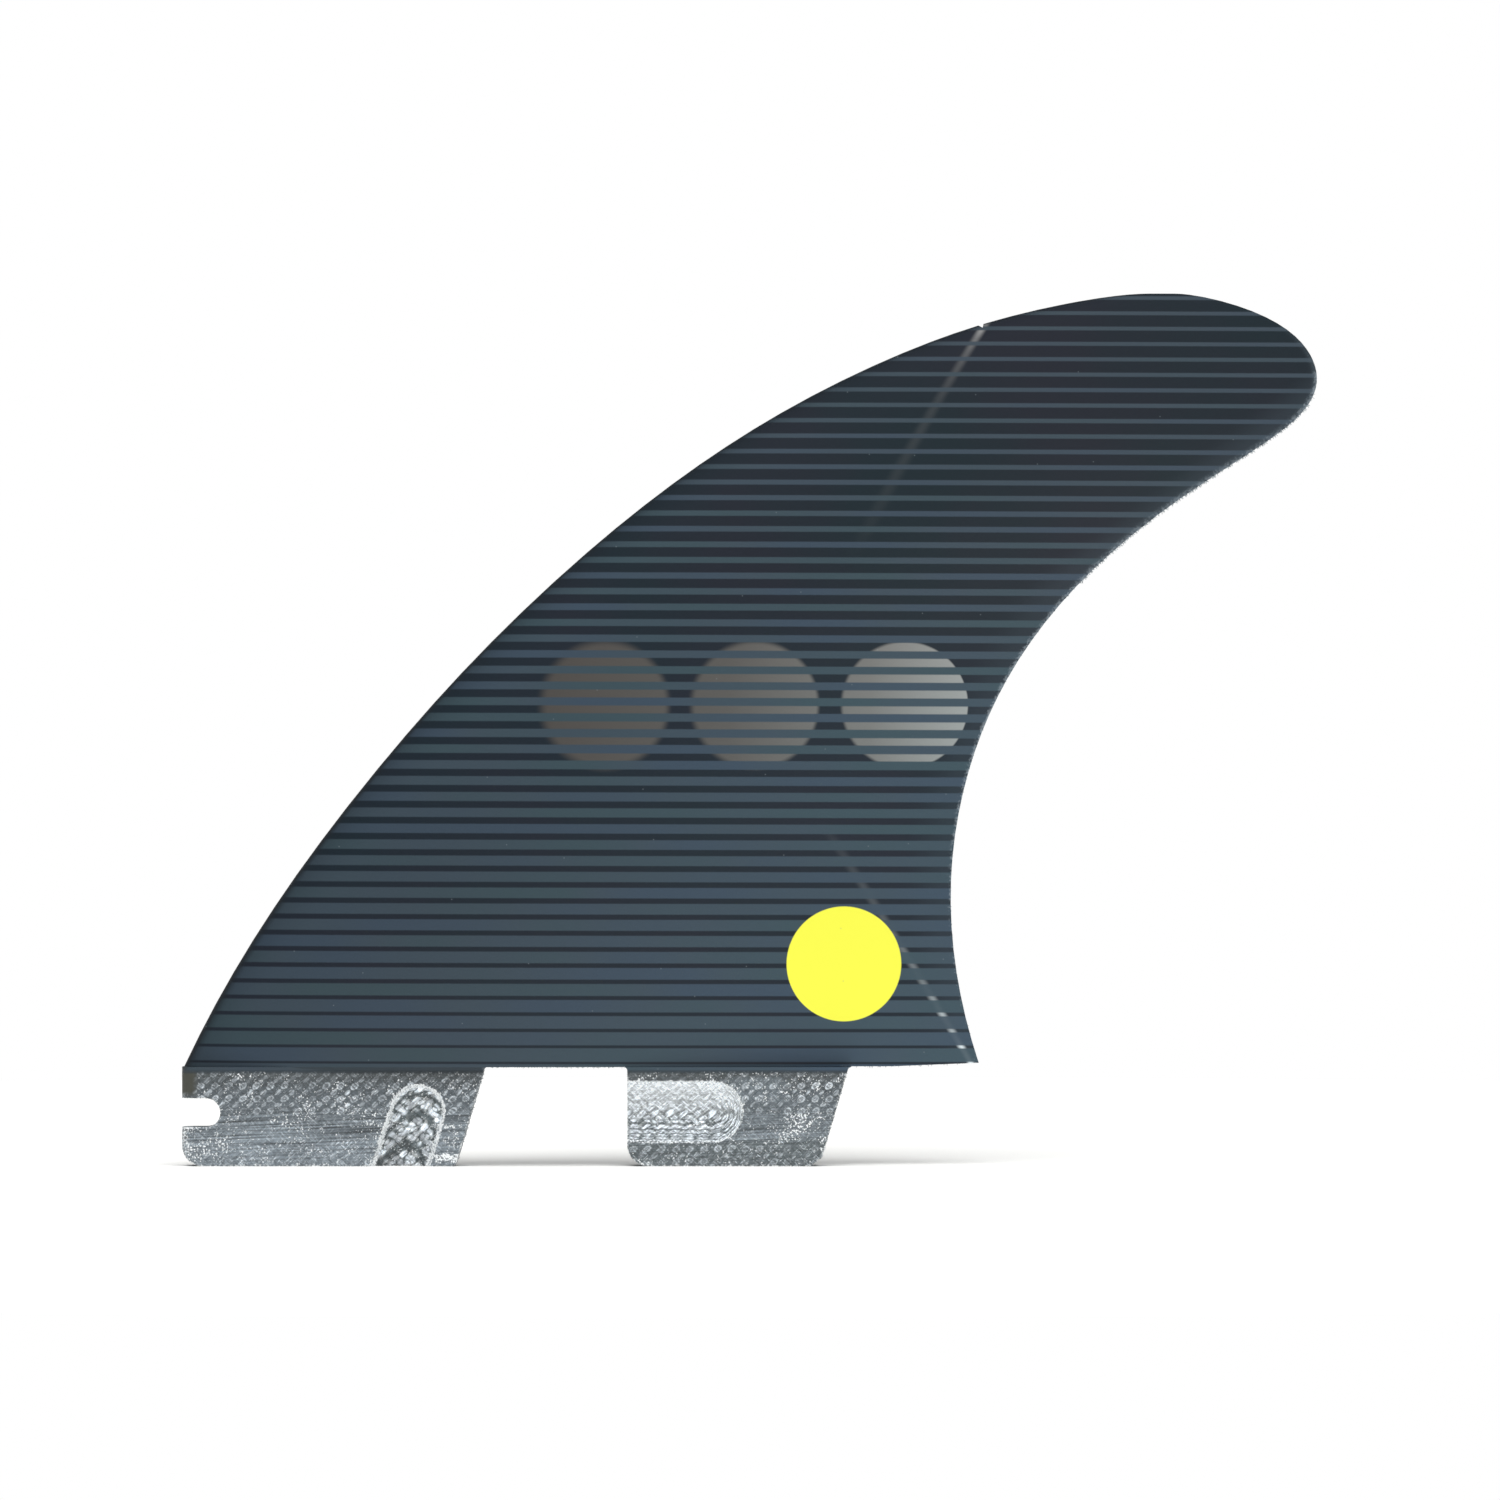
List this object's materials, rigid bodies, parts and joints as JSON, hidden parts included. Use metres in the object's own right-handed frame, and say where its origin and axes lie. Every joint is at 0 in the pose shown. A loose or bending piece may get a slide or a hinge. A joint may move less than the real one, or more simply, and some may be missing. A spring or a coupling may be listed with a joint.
{
  "type": "surfboard fin",
  "caption": "Raked side fin of moulded glass fibre, flat inside and foiled outside, with a hook-notched front tab and a pocketed rear tab.",
  "frame": {"origin": "on the seat plane, where the blade's underside meets the board, at the middle of the tab set's length and of the tabs' thickness", "axes": "+X aft along the board, towards the heel and the tip; +Z out of the board, towards the tip; the flat inner face looks to +Y and the cambered outer face to -Y"},
  "size_m": [0.1582, 0.007, 0.1216],
  "materials": {
    "glass_laminate": "satin glass-fibre laminate, slate with darker level stripes, clear grey on the tabs"
  },
  "bodies": {
    "root": {"fin": "glass_laminate"}
  },
  "joints": []
}
